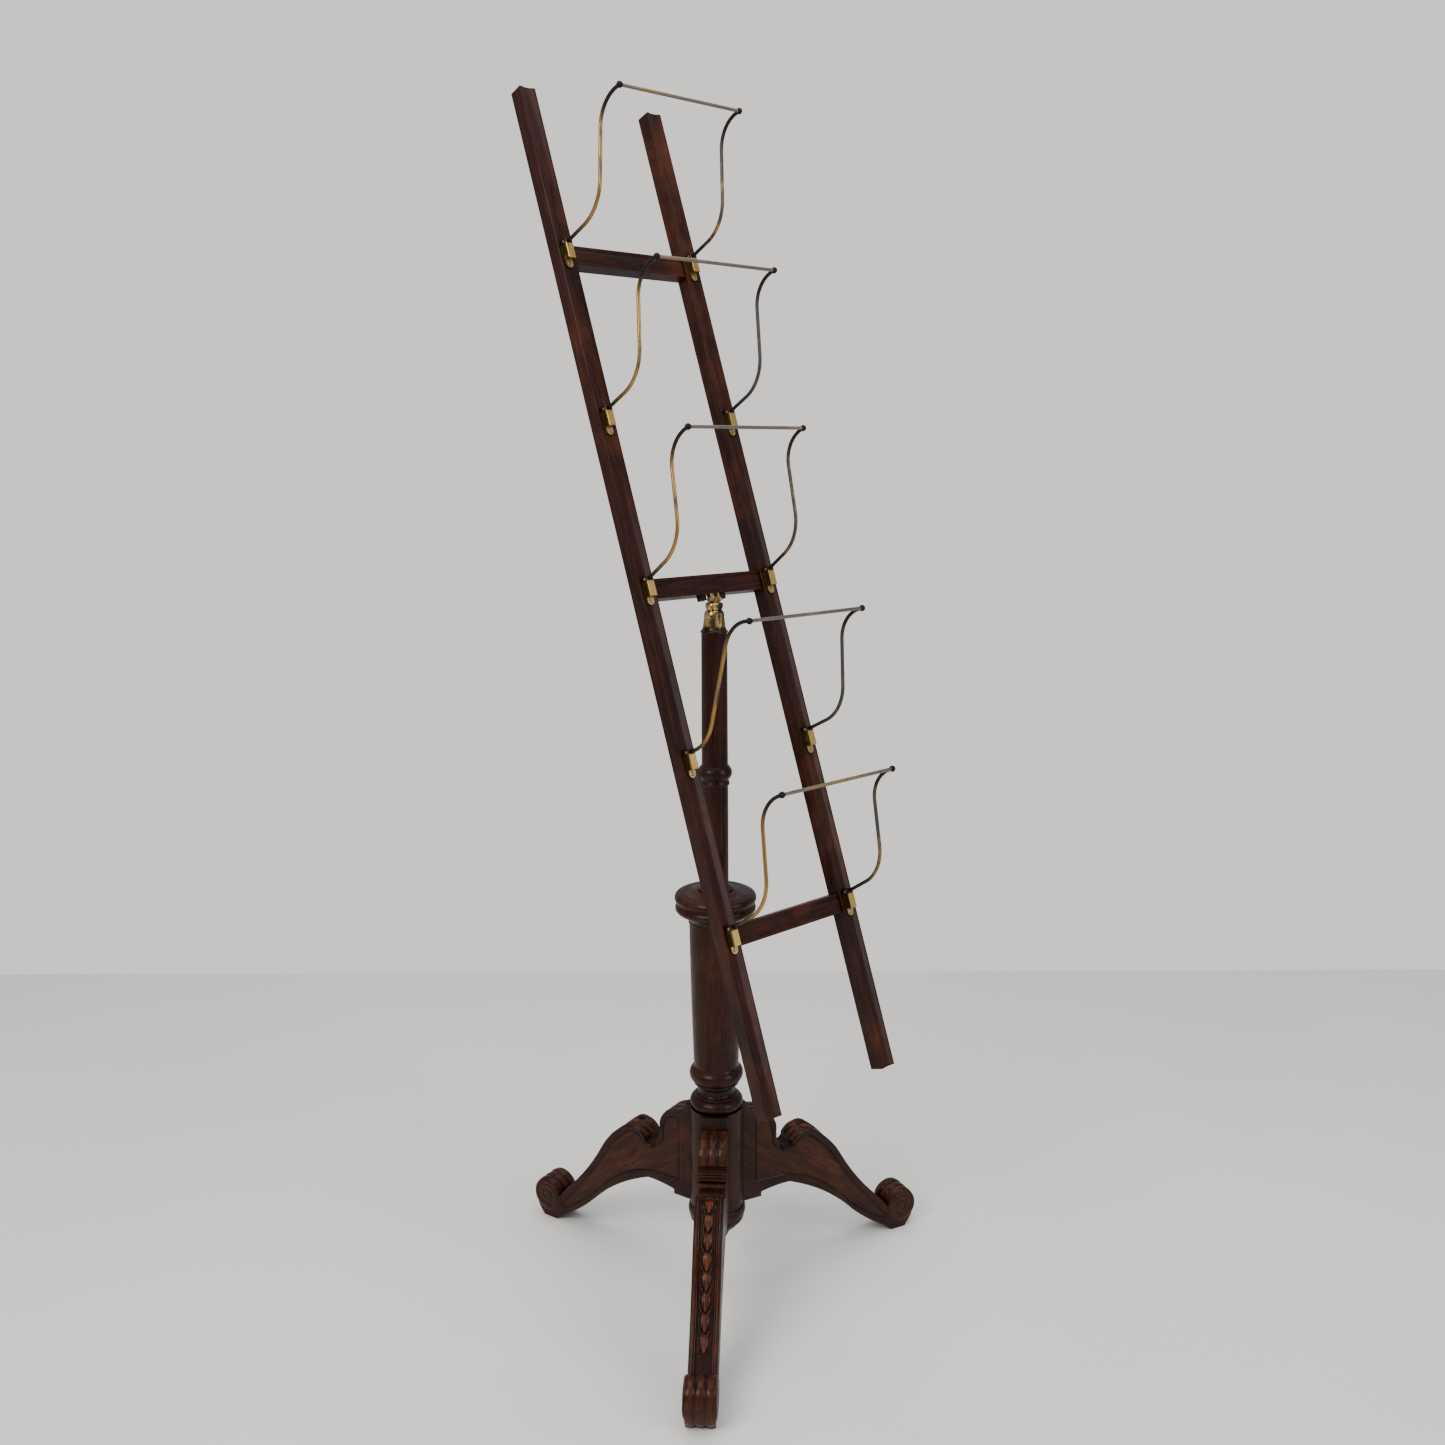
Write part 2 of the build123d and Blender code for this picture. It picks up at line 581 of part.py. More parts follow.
def make_knobs(tips, directions):
    """A round knob on the end of each arm, with sockets for the wire and for the bar."""
    across = (tips[1] - tips[0]).normalized()
    rim = (KNOB_RADIUS**2 - WIRE_RADIUS**2) ** 0.5
    with BuildPart() as knobs:
        for tip, direction, inward in zip(tips, directions, (across, -across)):
            outward = (direction * inward.dot(direction) - inward).normalized()
            with BuildSketch(Plane(origin=tip, x_dir=outward, z_dir=outward.cross(direction))):
                with BuildLine():
                    Polyline((0, KNOB_RADIUS), (0, 0), (WIRE_RADIUS, 0), (WIRE_RADIUS, -rim))
                    ThreePointArc((WIRE_RADIUS, -rim), (KNOB_RADIUS, 0), (0, KNOB_RADIUS))
                make_face()
            revolve(axis=Axis(tip, direction))
            with BuildSketch(Plane(origin=tip + inward * BAR_GAP, z_dir=inward)):
                Circle(BAR_RADIUS)
            extrude(amount=KNOB_RADIUS, mode=Mode.SUBTRACT)
    return knobs


for tier in TIERS:
    wires = [wire_line(tier, side).line for side in SIDES]
    tips = [wire @ 1 for wire in wires]
    for side in SIDES:
        save(make_arm(tier, side), f"bail_{tier}_arm_{side}")
    save(make_bar(tips), f"bail_{tier}_bar")
    save(make_knobs(tips, [wire % 1 for wire in wires]), f"bail_{tier}_knobs")
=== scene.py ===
"""Rotating display rack: the carved legs, the materials, and the studio around the solids."""

import json
import math

import bmesh
import bpy
import numpy as np
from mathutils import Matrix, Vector
from mathutils.geometry import delaunay_2d_cdt


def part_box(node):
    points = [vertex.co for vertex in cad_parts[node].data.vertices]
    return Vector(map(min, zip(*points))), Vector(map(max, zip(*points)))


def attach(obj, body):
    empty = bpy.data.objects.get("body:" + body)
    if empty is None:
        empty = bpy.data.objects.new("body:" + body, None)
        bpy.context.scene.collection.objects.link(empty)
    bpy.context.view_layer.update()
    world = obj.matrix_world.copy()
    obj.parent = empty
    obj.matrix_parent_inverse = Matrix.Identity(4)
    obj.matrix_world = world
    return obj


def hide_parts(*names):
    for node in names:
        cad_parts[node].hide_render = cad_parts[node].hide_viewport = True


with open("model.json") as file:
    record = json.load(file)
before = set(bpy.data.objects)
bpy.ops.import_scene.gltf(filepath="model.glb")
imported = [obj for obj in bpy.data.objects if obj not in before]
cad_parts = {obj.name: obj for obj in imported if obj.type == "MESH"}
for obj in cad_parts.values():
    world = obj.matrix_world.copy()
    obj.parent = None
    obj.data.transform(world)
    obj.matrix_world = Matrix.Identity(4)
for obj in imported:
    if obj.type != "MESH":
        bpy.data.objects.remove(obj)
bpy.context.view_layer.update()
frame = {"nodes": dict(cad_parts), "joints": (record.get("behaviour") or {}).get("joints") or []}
nodes = frame["nodes"]
joints = {j["name"]: j for j in frame["joints"]}

AXIS = Vector(joints["swivel"]["pos_m"])
PIVOT = Vector(joints["ladder_tilt"]["pos_m"])
LEAN = math.radians(20.7)
OUT_OF_LADDER = Vector((0, -math.cos(LEAN), math.sin(LEAN)))
ACROSS = Vector(joints["ladder_tilt"]["axis"]).normalized()
UP_LADDER = OUT_OF_LADDER.cross(ACROSS)
TIERS = range(1, 6)
TOP_TAB = 0.482  # the lowest point of the top brackets, up the ladder from the tilt bolt
TIER_PITCH = 0.241
LEG_ANGLES = {"leg_1": -136.1, "leg_2": -16.1, "leg_3": 103.9}
LEG_FALL = math.radians(-38)  # the slope of the grain in the legs


# ---------------------------------------------------------------- shader helpers
class Shader:
    """A node material that is built up by short calls. A value or a socket can feed any input."""

    def __init__(self, name):
        self.material = bpy.data.materials.new(name)
        self.material.use_nodes = True
        self.tree = self.material.node_tree
        self.tree.nodes.clear()
        out = self.tree.nodes.new("ShaderNodeOutputMaterial")
        self.bsdf = self.tree.nodes.new("ShaderNodeBsdfPrincipled")
        self.tree.links.new(self.bsdf.outputs[0], out.inputs[0])

    def put(self, socket, value):
        if isinstance(value, bpy.types.NodeSocket):
            self.tree.links.new(value, socket)
        else:
            socket.default_value = value

    def add(self, kind, *values, settings=None, **inputs):
        """A new node. The values feed its first inputs in order, and the others the inputs of that name."""
        node = self.tree.nodes.new("ShaderNode" + kind)
        for key, value in (settings or {}).items():
            setattr(node, key, value)
        for socket, value in zip(node.inputs, values):
            self.put(socket, value)
        for key, value in inputs.items():
            self.put(node.inputs[key.replace("_", " ")], value)
        return node

    def set(self, **inputs):
        for key, value in inputs.items():
            self.put(self.bsdf.inputs[key.replace("_", " ")], value)

    def math(self, operation, a, b, clamp=False):
        return self.add("Math", a, b, settings={"operation": operation, "use_clamp": clamp}).outputs[0]

    def larger(self, a, b):
        return self.math("MAXIMUM", a, b)

    def dot(self, a, b):
        return self.add("VectorMath", a, b, settings={"operation": "DOT_PRODUCT"}).outputs["Value"]

    def ramp(self, value, low, high, to_low=0.0, to_high=1.0, kind="SMOOTHSTEP"):
        return self.add("MapRange", value, low, high, to_low, to_high,
                        settings={"interpolation_type": kind}).outputs[0]

    def noise(self, vector, scale, detail=3.0, roughness=0.5, distortion=0.0):
        return self.add("TexNoise", Vector=vector, Scale=scale, Detail=detail, Roughness=roughness,
                        Distortion=distortion).outputs["Fac"]

    def mix(self, factor, a, b):
        node = self.add("Mix", factor, settings={"data_type": "RGBA"})
        for socket, colour in ((node.inputs[6], a), (node.inputs[7], b)):
            self.put(socket, colour if isinstance(colour, bpy.types.NodeSocket) else (*colour, 1.0))
        return node.outputs[2]

    def place(self):
        return self.add("TexCoord").outputs["Object"]

    def up(self):
        """Height above the floor."""
        return self.add("SeparateXYZ", self.place()).outputs[2]

    def along(self, direction, stretch):
        """The place, with lengths along the direction squeezed, so that noise runs in streaks."""
        direction = Vector(direction).normalized()
        side = direction.orthogonal().normalized()
        third = direction.cross(side)
        here = self.place()
        squeezed = self.math("DIVIDE", self.dot(here, direction), stretch)
        return self.add("CombineXYZ", squeezed, self.dot(here, side), self.dot(here, third)).outputs[0]

    def bump(self, height, strength, distance):
        node = self.add("Bump", Strength=strength, Distance=distance, Height=height)
        self.set(Normal=node.outputs[0])

    def open_faces(self, distance, power=1.0):
        """1 on open surfaces, falling to 0 in crevices."""
        node = self.add("AmbientOcclusion", settings={"samples": 6}, Distance=distance)
        return self.math("POWER", node.outputs["AO"], power)

    def worn_edges(self, radius):
        """0 on flats, rising to 1 where an outer edge turns."""
        flat = self.add("NewGeometry").outputs["True Normal"]
        rounded = self.add("Bevel", settings={"samples": 4}, Radius=radius).outputs[0]
        return self.ramp(self.dot(flat, rounded), 0.995, 0.86)


# ---------------------------------------------------------------- materials
DARK = (0.0065, 0.0019, 0.0010)
MIDDLE = (0.036, 0.0090, 0.0035)
LIGHT = (0.190, 0.052, 0.0145)
LADDER_MIDDLE = (0.040, 0.0088, 0.0036)

GOLD = (0.58, 0.37, 0.11)
HINGE_GOLD = (0.42, 0.26, 0.08)
BLACK_BRASS = (0.022, 0.014, 0.009)
BRACKET_GOLD = (0.50, 0.32, 0.10)
BRACKET_BROWN = (0.16, 0.09, 0.03)
BRACKET_TARNISH_AND_SIDE_SHADE = (0.12, 0.075, 0.025)
KNUCKLE_BLACK = (0.02, 0.016, 0.012)
SCREW_BRIGHT = (0.4, 0.31, 0.19)
SCREW_DARK = (0.05, 0.04, 0.03)
WIRE_GOLD = (0.34, 0.195, 0.05)
WIRE_GREY = (0.075, 0.072, 0.07)
WIRE_BLACK = (0.017, 0.014, 0.012)
BAR_GREY = (0.17, 0.155, 0.14)
BAR_GOLD = (0.24, 0.15, 0.055)
KNOB_BLACK = (0.02, 0.018, 0.016)
KNOB_DARKER = (0.008, 0.007, 0.007)


def wood(name, grain, middle=MIDDLE, scuff_and_edge_highlight=0.45, carved=False):
    """Old mahogany: lighter on its edges and on what is carved high, partly scuffed and partly painted
    highlight, and darker in its hollows from dirt and painted shade.
    """
    s = Shader(name)
    streaks = s.noise(s.along(grain, 16.0), 260.0, 5.0, 0.62)
    ribbon = s.noise(s.along(grain, 5.0), 38.0, 3.0, 0.55, 0.6)
    cloud = s.noise(s.place(), 9.0, 3.0, 0.6)
    pores = s.ramp(s.noise(s.along(grain, 26.0), 950.0, 2.0, 0.5), 0.36, 0.46)
    rub = s.ramp(s.noise(s.along(grain, 3.0), 70.0, 4.0, 0.65), 0.42, 0.68)
    dull = s.noise(s.place(), 42.0, 4.0, 0.7)

    figure = s.math("ADD", s.math("MULTIPLY", streaks, 0.62), s.math("MULTIPLY", ribbon, 0.5))
    # edges painted lighter: partly scuffed wood, partly a painted highlight along the arrises
    scuff_and_highlight = s.math("MULTIPLY", s.math("MULTIPLY", s.worn_edges(0.0018), rub), scuff_and_edge_highlight, True)
    patches = s.math("MULTIPLY", s.ramp(cloud, 0.5, 0.74), 0.55 * scuff_and_edge_highlight)
    scuff_and_highlight = s.larger(scuff_and_highlight, patches)
    if carved:
        # the carving's raised parts are painted lighter from a mesh attribute: partly scuffed wood, partly
        # painted highlight
        scuffed_and_highlit = s.add("Attribute", settings={"attribute_name": "scuffed_and_highlit"}).outputs["Fac"]
        scuff_and_highlight = s.larger(scuff_and_highlight, s.math("MULTIPLY", scuffed_and_highlit, s.ramp(rub, -0.5, 1.0, 0.1, 1.0)))

    colour = s.mix(s.ramp(figure, 0.36, 0.78), DARK, middle)
    colour = s.mix(scuff_and_highlight, colour, s.mix(streaks, middle, LIGHT))
    colour = s.mix(s.ramp(pores, 0.0, 1.0, 0.5, 0.0), colour, [c * 0.35 for c in DARK])
    # darker where ambient occlusion finds crevices: partly dirt, partly painted shade
    dirt_and_shade = s.ramp(s.open_faces(0.009, 1.4), 0.25, 0.92, 0.9, 0.0)
    colour = s.mix(dirt_and_shade, colour, [c * 0.22 for c in DARK])
    rough = s.math("ADD", s.ramp(dull, 0.3, 0.75, 0.27, 0.5), s.math("MULTIPLY", scuff_and_highlight, 0.1))
    s.set(Base_Color=colour, Roughness=rough)
    s.set(Coat_Weight=0.13, Coat_Roughness=0.14, Specular_IOR_Level=0.08)
    height = s.math("ADD", s.math("MULTIPLY", pores, 0.6), s.math("MULTIPLY", streaks, 0.6))
    s.bump(s.math("ADD", height, s.math("MULTIPLY", dull, 0.3)), 0.35, 0.00045)
    return s


def metal(name, clean, tarnish, low, high, rough, scale, grain=(0, 0, 1), stretch=4.0, edge_gain=0.5):
    """Old metal: clean where it is rubbed, and tarnished in patches where the noise is above low to high."""
    s = Shader(name)
    patch = s.noise(s.along(grain, stretch), scale, 5.0, 0.66, 0.4)
    fine = s.noise(s.along(grain, stretch * 3), scale * 7, 3.0, 0.6)
    dirt = s.ramp(s.math("ADD", s.math("MULTIPLY", patch, 0.8), s.math("MULTIPLY", fine, 0.2)), low, high)
    edge = s.math("MULTIPLY", s.worn_edges(0.0007), edge_gain)
    crevice = s.ramp(s.open_faces(0.004), 0.2, 0.8, 0.8, 0.0)
    dirt = s.larger(s.math("SUBTRACT", dirt, edge, True), crevice)
    s.set(Base_Color=s.mix(dirt, clean, tarnish), Metallic=s.ramp(dirt, 0.0, 1.0, 1.0, 0.72))
    roughness = s.math("ADD", s.ramp(dirt, 0.0, 1.0, rough, rough + 0.22), s.math("MULTIPLY", fine, 0.08))
    s.set(Roughness=roughness)
    s.bump(s.math("ADD", fine, patch), 0.15, 0.0001)
    return s, dirt


def bell_brass():
    """Bright brass with dark streaks, and nearly black on the bell's foot."""
    s, dirt = metal("bell_brass", GOLD, BLACK_BRASS, 0.4, 0.52, 0.17, 62.0, stretch=9.0)
    foot = s.ramp(s.up(), 1.036, 1.030)
    s.set(Base_Color=s.mix(s.larger(dirt, foot), GOLD, BLACK_BRASS))
    return s


def bracket_brass():
    """Gold on the faces, brown where tarnished, brown painted shade on the sides, and black at the knuckles
    that hold the wire.
    """
    s, dirt = metal("bracket_brass", BRACKET_GOLD, BRACKET_BROWN, 0.5, 0.75, 0.3, 110.0)
    # the sides that turn away from the front of the ladder are painted darker: painted shade
    facing = s.dot(s.add("NewGeometry").outputs["Normal"], OUT_OF_LADDER)
    side_shade = s.ramp(facing, 0.8, 0.3, 0.0, 0.8)
    from_pivot = s.add("VectorMath", s.place(), PIVOT, settings={"operation": "SUBTRACT"}).outputs[0]
    level = s.math("SUBTRACT", s.dot(from_pivot, UP_LADDER), TOP_TAB - 10 * TIER_PITCH)
    above_tab = s.math("MODULO", level, TIER_PITCH)
    knuckle = s.ramp(above_tab, 0.0295, 0.033, 0.0, 0.95)
    shade = s.larger(s.larger(dirt, side_shade), knuckle)
    s.set(Base_Color=s.mix(shade, BRACKET_GOLD, s.mix(knuckle, BRACKET_TARNISH_AND_SIDE_SHADE, KNUCKLE_BLACK)))
    return s


def wire(tier, side, shift):
    """Worn brass wire with blackened ends. The shift is how far the gold gives way to grey."""
    name = f"bail_{tier}_arm_{side}"
    low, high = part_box(name)
    s, dirt = metal(f"wire_{side}_{tier}", WIRE_GOLD, WIRE_GREY, 0.48 - shift, 0.62 - shift, 0.27, 24.0,
                    stretch=2.5, edge_gain=0.0)
    share = s.ramp(s.up(), low.z, high.z, kind="LINEAR")
    ends = s.larger(s.ramp(share, 0.2, 0.03), s.ramp(share, 0.7, 0.9))
    s.set(Base_Color=s.mix(ends, s.mix(dirt, WIRE_GOLD, WIRE_GREY), WIRE_BLACK))
    s.set(Metallic=s.ramp(ends, 0.0, 1.0, 1.0, 0.8))
    dress([name], s)


def dress(names, shader):
    for name in names:
        nodes[name].data.materials.clear()
        nodes[name].data.materials.append(shader.material)


# ---------------------------------------------------------------- the outline of a leg, in millimetres
MM = 0.001
LEG_HALF = 21.0
FOOT_HALF = 23.3
EDGE = 1.1  # the small bevel between the band round the leg and its sides
FOOT_CENTRE = np.array((331.0, 41.0))
START = (33.0, 129.0)
# radius, height, sagitta of the arc that reaches this point (left of travel is positive), kind of surface
CORNERS = [
    (33.0, 292.6, 0.0, "plain"),
    (44.2, 292.6, 0.0, "plain"),
    (46.2, 278.2, 0.0, "block"),
    (66.0, 272.9, 0.0, "shoulder"),
    (95.0, 243.0, 7.2, "hump"),
    (95.0, 216.0, 0.0, "brow"),
    (101.0, 211.0, 0.0, "notch"),
    (124.0, 208.0, -13.0, "notch"),
    (145.0, 221.8, 3.0, "roll"),
    (168.0, 215.0, 3.2, "crest"),
    (212.0, 166.0, 3.5, "knee"),
    (283.0, 72.0, -4.0, "shin"),
    (305.5, 46.0, 0.0, "neck"),
    (357.0, 41.0, 26.5, "foot"),
    (350.0, 13.0, 2.0, "foot"),
    (340.0, 0.0, 0.0, "foot"),
    (314.0, 0.0, 0.0, "sole"),
    (290.0, 18.0, 0.0, "under"),
    (235.0, 61.0, 2.0, "under"),
    (118.0, 141.0, -8.0, "under"),
    (68.0, 136.5, -1.5, "under"),
    (68.0, 129.0, 0.0, "under"),
    START + (0.0, "plain"),
]
# how closely the points of each kind of surface stand
STEPS = {"crest": 0.9, "knee": 0.9, "shin": 0.9, "neck": 1.0, "hump": 1.2, "shoulder": 0.9, "brow": 0.8,
         "roll": 1.2, "foot": 1.6}
PLAIN_STEP = 3.0
GRID_STEP = 3.4  # on the sides, away from the incised lines
# the incised line on each side, about 8 mm inside the outline, running out into the foot scroll
PANEL = [
    (57, 264, 0), (70, 260, 1), (84, 247, 3.5), (87, 234, 0.5), (87, 216, 0), (91, 210, 1.2), (97, 206, -1),
    (106, 198, 1.5), (116, 197, 2.5), (125, 202, 0), (134, 210, -1), (147, 212.5, 2.5), (164, 205, 2),
    (206, 154, 3), (262, 78, -2), (301, 32, 0), (296, 27, 0),
    (229, 76, 1.5), (161, 136, -4), (131, 150, -1.5), (104, 157, -1), (57, 158, 0),
]
SCROLL_START = math.radians(150)
SCROLL_SWEEP = math.radians(560)
SCROLL_OUTER = 21.0
SCROLL_INNER = 6.0


def arc(p, q, sagitta, step):
    """Points along the arc from p to q, without p."""
    p, q = np.array(p, float), np.array(q, float)
    chord = q - p
    length = np.hypot(*chord)
    count = max(2, int(round(length * (1 + 2 * (sagitta / length) ** 2) / step)))
    t = np.arange(1, count + 1) / count
    if abs(sagitta) < 1e-6:
        return p + chord * t[:, None]
    left = np.array((-chord[1], chord[0])) / length
    radius = (length ** 2 / 4 + sagitta ** 2) / (2 * abs(sagitta))
    centre = (p + q) / 2 + left * (sagitta - math.copysign(radius, sagitta))
    a0 = math.atan2(*(p - centre)[::-1])
    a1 = math.atan2(*(q - centre)[::-1])
    sweep = (a1 - a0) % (2 * math.pi)
    if sagitta > 0:
        sweep -= 2 * math.pi
    return centre + radius * np.stack([np.cos(a0 + sweep * t), np.sin(a0 + sweep * t)], 1)


def closed_line(corners, step):
    """The closed line through the corners, each given with the sagitta of the arc that reaches it."""
    pieces = [np.array([corners[-1][:2]], float)]
    for before, here in zip([corners[-1]] + corners[:-1], corners):
        pieces.append(arc(before[:2], here[:2], here[2], step))
    return np.concatenate(pieces)


def foot_spiral():
    """The line that winds inwards on the side of the foot scroll."""
    share = np.linspace(0, 1, 90)
    angle = SCROLL_START - share * SCROLL_SWEEP
    radius = SCROLL_OUTER - (SCROLL_OUTER - SCROLL_INNER) * share
    return FOOT_CENTRE + radius[:, None] * np.stack([np.cos(angle), np.sin(angle)], 1)


def resample(line, step):
    """The same line, with points that stand evenly."""
    travelled = np.concatenate([[0], np.cumsum(np.hypot(*np.diff(line, axis=0).T))])
    at = np.linspace(0, travelled[-1], max(2, int(travelled[-1] / step)) + 1)
    return np.stack([np.interp(at, travelled, line[:, 0]), np.interp(at, travelled, line[:, 1])], 1)


def to_line(points, line):
    """Distance from each point to a line."""
    best = np.full(len(points), 1e9)
    for start, step in zip(line[:-1], np.diff(line, axis=0)):
        t = np.clip(((points - start) @ step) / max(step @ step, 1e-9), 0, 1)
        best = np.minimum(best, np.hypot(*(points - start - t[:, None] * step).T))
    return best


def inside(points, line):
    """Which of the points lie inside the closed line."""
    x, y = points.T
    hit = np.zeros(len(points), bool)
    for (x0, y0), (x1, y1) in zip(line, np.roll(line, -1, 0)):
        crosses = (y0 > y) != (y1 > y)
        with np.errstate(divide="ignore", invalid="ignore"):
            hit ^= crosses & (x < (x1 - x0) * (y - y0) / (y1 - y0) + x0)
    return hit


def smooth(x, low, high):
    """0 at low and 1 at high, with a smooth rise between them."""
    t = np.clip((np.asarray(x, float) - low) / (high - low), 0, 1)
    return t * t * (3 - 2 * t)


def ridge(x, width):
    """1 at x = 0, falling to 0 on both sides."""
    return np.exp(-(x / width) ** 2)


PANEL_LINE = closed_line(PANEL, 2.0)
SPIRAL = foot_spiral()


# ---------------------------------------------------------------- the carving, in millimetres
REEDS = 3
REED_DEPTH = {"shoulder": 2.8, "hump": 2.8, "roll": 2.6, "foot": 3.4}
HUSKS = 8
HUSK_PITCH = 26.2
FIRST_HUSK = 1.5
BORDER = 9.4  # the width of the border on each side of the sunk channel
CHANNEL_DEPTH = 3.8
# how far down the sunk channel each of its stretches starts
CHANNEL_START = {"crest": 0.0, "knee": 24.4, "shin": 91.0, "neck": 214.0}
LEDGES_FROM = 11.5  # how far down the brow its hollow ends and its ledges start
LEDGE_PITCH = 5.2
FIRST_LEDGE = 14.0


def side_height(points):
    """How far the side of the leg stands from its middle plane, and how far its wood is scuffed lighter
    inside the incised line.
    """
    radius = points[:, 0]
    from_foot = np.hypot(*(points - FOOT_CENTRE).T)
    line = to_line(points, PANEL_LINE)
    within = inside(points, PANEL_LINE)
    half = LEG_HALF - 0.4 * smooth(radius, 120, 280)
    half = half + smooth(from_foot, 28.0, 25.0) * (FOOT_HALF - half)
    half = half - 1.3 * ridge(line, 1.0) - 0.35 * within * smooth(line, 0, 3)
    half = half - 1.2 * ridge(to_line(points, SPIRAL), 1.6) * smooth(from_foot, 26.0, 23.0)
    scuffed_and_highlit = within * smooth(line, 0.5, 5.0) * (0.2 + 0.2 * ridge(radius - 165, 60))
    return half, scuffed_and_highlit


def reeded(w, half, depth):
    """Rounded reeds side by side."""
    cell = np.clip((w / half + 1) / 2, 0, 0.9999) * REEDS
    x = 2 * (cell - np.floor(cell)) - 1
    shape = np.sqrt(np.clip(1 - 0.94 * x ** 2, 0, 1)) - 1
    # the crest of each reed is painted lighter: partly scuffed wood, partly painted highlight
    return depth * shape, 0.5 * smooth(shape, -0.3, -0.03)


def reed_tops(t, w, half, depth):
    """The upper ends of the reeds, each rounded, out of a lower ground."""
    off_middle = np.abs(2 * ((np.clip((w / half + 1) / 2, 0, 0.9999) * REEDS) % 1) - 1)
    start = t - 2.5 * off_middle ** 2
    reeds, scuffed_and_highlit = reeded(w, half, depth)
    ground = -1.6 * smooth(start, 7.0, 4.0) * smooth(t, 0, 1)
    return np.minimum(smooth(start, 4.0, 7.0) * reeds, ground), scuffed_and_highlit * smooth(t, 5, 8)


def husk(t, w):
    """One bellflower: t runs from 0 at its stalk to 1 at its tip. Gives its height, and how much lighter it
    is painted: scuffed wood and painted highlight on its dome.
    """
    edge = np.abs(w)
    width = (3.8 + 3.6 * smooth(t, 0.0, 0.3)) * np.clip((1.0 - t) / 0.5, 0, 1) ** 0.65
    dome = np.sqrt(np.clip(1 - (edge / np.maximum(width, 0.1)) ** 2, 0, 1))
    rise = dome * (1.2 + 2.1 * smooth(t, 0.0, 0.5)) * smooth(t, 0.0, 0.06)
    vein = 0.9 * ridge(edge - 2.6, 0.55) * smooth(t, 0.3, 0.5) * smooth(t, 0.98, 0.85)
    # the pair of small leaves that stand out from under the tip
    swing = np.where(t > 0.5, t - 1.0, t)
    leaf = np.sqrt(np.clip(1 - ((edge - 5.6 + 6.0 * swing) / 2.2) ** 2 - (swing / 0.3) ** 2, 0, 1))
    # the dome of the husk is painted lighter, less so along its vein: partly scuffed wood, partly painted
    # highlight
    scuffed_and_highlit = smooth(dome, 0.35, 0.8) * smooth(t, 0.0, 0.25) - 0.6 * vein
    return np.maximum(rise - vein * (dome > 0), 1.9 * leaf), scuffed_and_highlit


def channel(run, left, w, half):
    """The sunk channel between two borders, with its drop of husks. Run and left are to its two ends."""
    inward = half - np.abs(w)
    border = smooth(inward, BORDER, BORDER - 1.2)
    lines = 1.1 * ridge(inward - 6.4, 0.75) + 0.7 * ridge(inward - 2.6, 0.7)
    floor = -CHANNEL_DEPTH * (1 - border) * smooth(run, 0, 2)
    # the beads along the borders are painted lighter: partly scuffed wood, partly painted highlight
    outer = 0.6 * smooth(inward, 6.0, 5.2) * smooth(inward, 3.2, 4.0)
    inner = 0.5 * smooth(inward, 9.0, 8.2) * smooth(inward, 6.8, 7.4)
    scuffed_and_highlit = np.maximum(outer, inner)
    cell = (run - FIRST_HUSK) / HUSK_PITCH
    if 0 <= cell < HUSKS:
        raised, husk_scuffed_and_highlit = husk(cell - math.floor(cell), w)
        floor = floor + raised * (1 - border)
        scuffed_and_highlit = np.maximum(scuffed_and_highlit, husk_scuffed_and_highlit * (1 - border))
    return (floor - lines * smooth(run, 0, 2) * smooth(left, 0, 3)) * smooth(left, 0, 5), scuffed_and_highlit


def brow(t, flat):
    """The step under the hump: a hollow, and then ledges."""
    if t > LEDGES_FROM:
        # the ledge tops are painted lighter: partly scuffed wood, partly painted highlight
        ledge = (0.5 + 0.5 * np.cos(2 * np.pi * (t - FIRST_LEDGE) / LEDGE_PITCH)) ** 0.6
        return flat - 1.8 + 1.8 * ledge, flat + 0.3 * ledge
    return flat - 3.4 * smooth(t, 0, 2) * smooth(t, LEDGES_FROM, LEDGES_FROM - 1.5), flat


def carve(kind, t, length, w, half):
    """Depth of the carving on the band round the leg, and how much lighter the wood is painted, partly
    scuffed and partly painted highlight on what is carved high, t along a stretch.
    """
    if kind in CHANNEL_START:
        left = length - t if kind == "neck" else math.inf
        return channel(CHANNEL_START[kind] + t, left, w, half)
    if kind == "shoulder":
        return reed_tops(t, w, half, REED_DEPTH[kind])
    if kind in REED_DEPTH:
        depth, scuffed_and_highlit = reeded(w, half, REED_DEPTH[kind])
        fade = smooth(t, 0, 3) if kind == "roll" else 1.0
        return fade * depth, scuffed_and_highlit
    flat = np.zeros_like(w)
    return brow(t, flat) if kind == "brow" else (flat, flat)


# ---------------------------------------------------------------- the mesh of a leg
def leg_profile():
    """Points and outward normals of the outline, and each one's kind, place in its stretch and its length."""
    points, stretches = [], []
    previous = START
    for x, z, sagitta, kind in CORNERS:
        piece = arc(previous, (x, z), sagitta, STEPS.get(kind, PLAIN_STEP))
        travelled = np.cumsum(np.hypot(*np.diff(np.concatenate([[previous], piece]), axis=0).T))
        points.append(piece)
        stretches += [(kind, t, travelled[-1]) for t in travelled]
        previous = (x, z)
    points = np.concatenate(points)
    tangent = np.roll(points, -1, 0) - np.roll(points, 1, 0)
    tangent /= np.hypot(*tangent.T)[:, None]
    return points, np.stack([-tangent[:, 1], tangent[:, 0]], 1), stretches


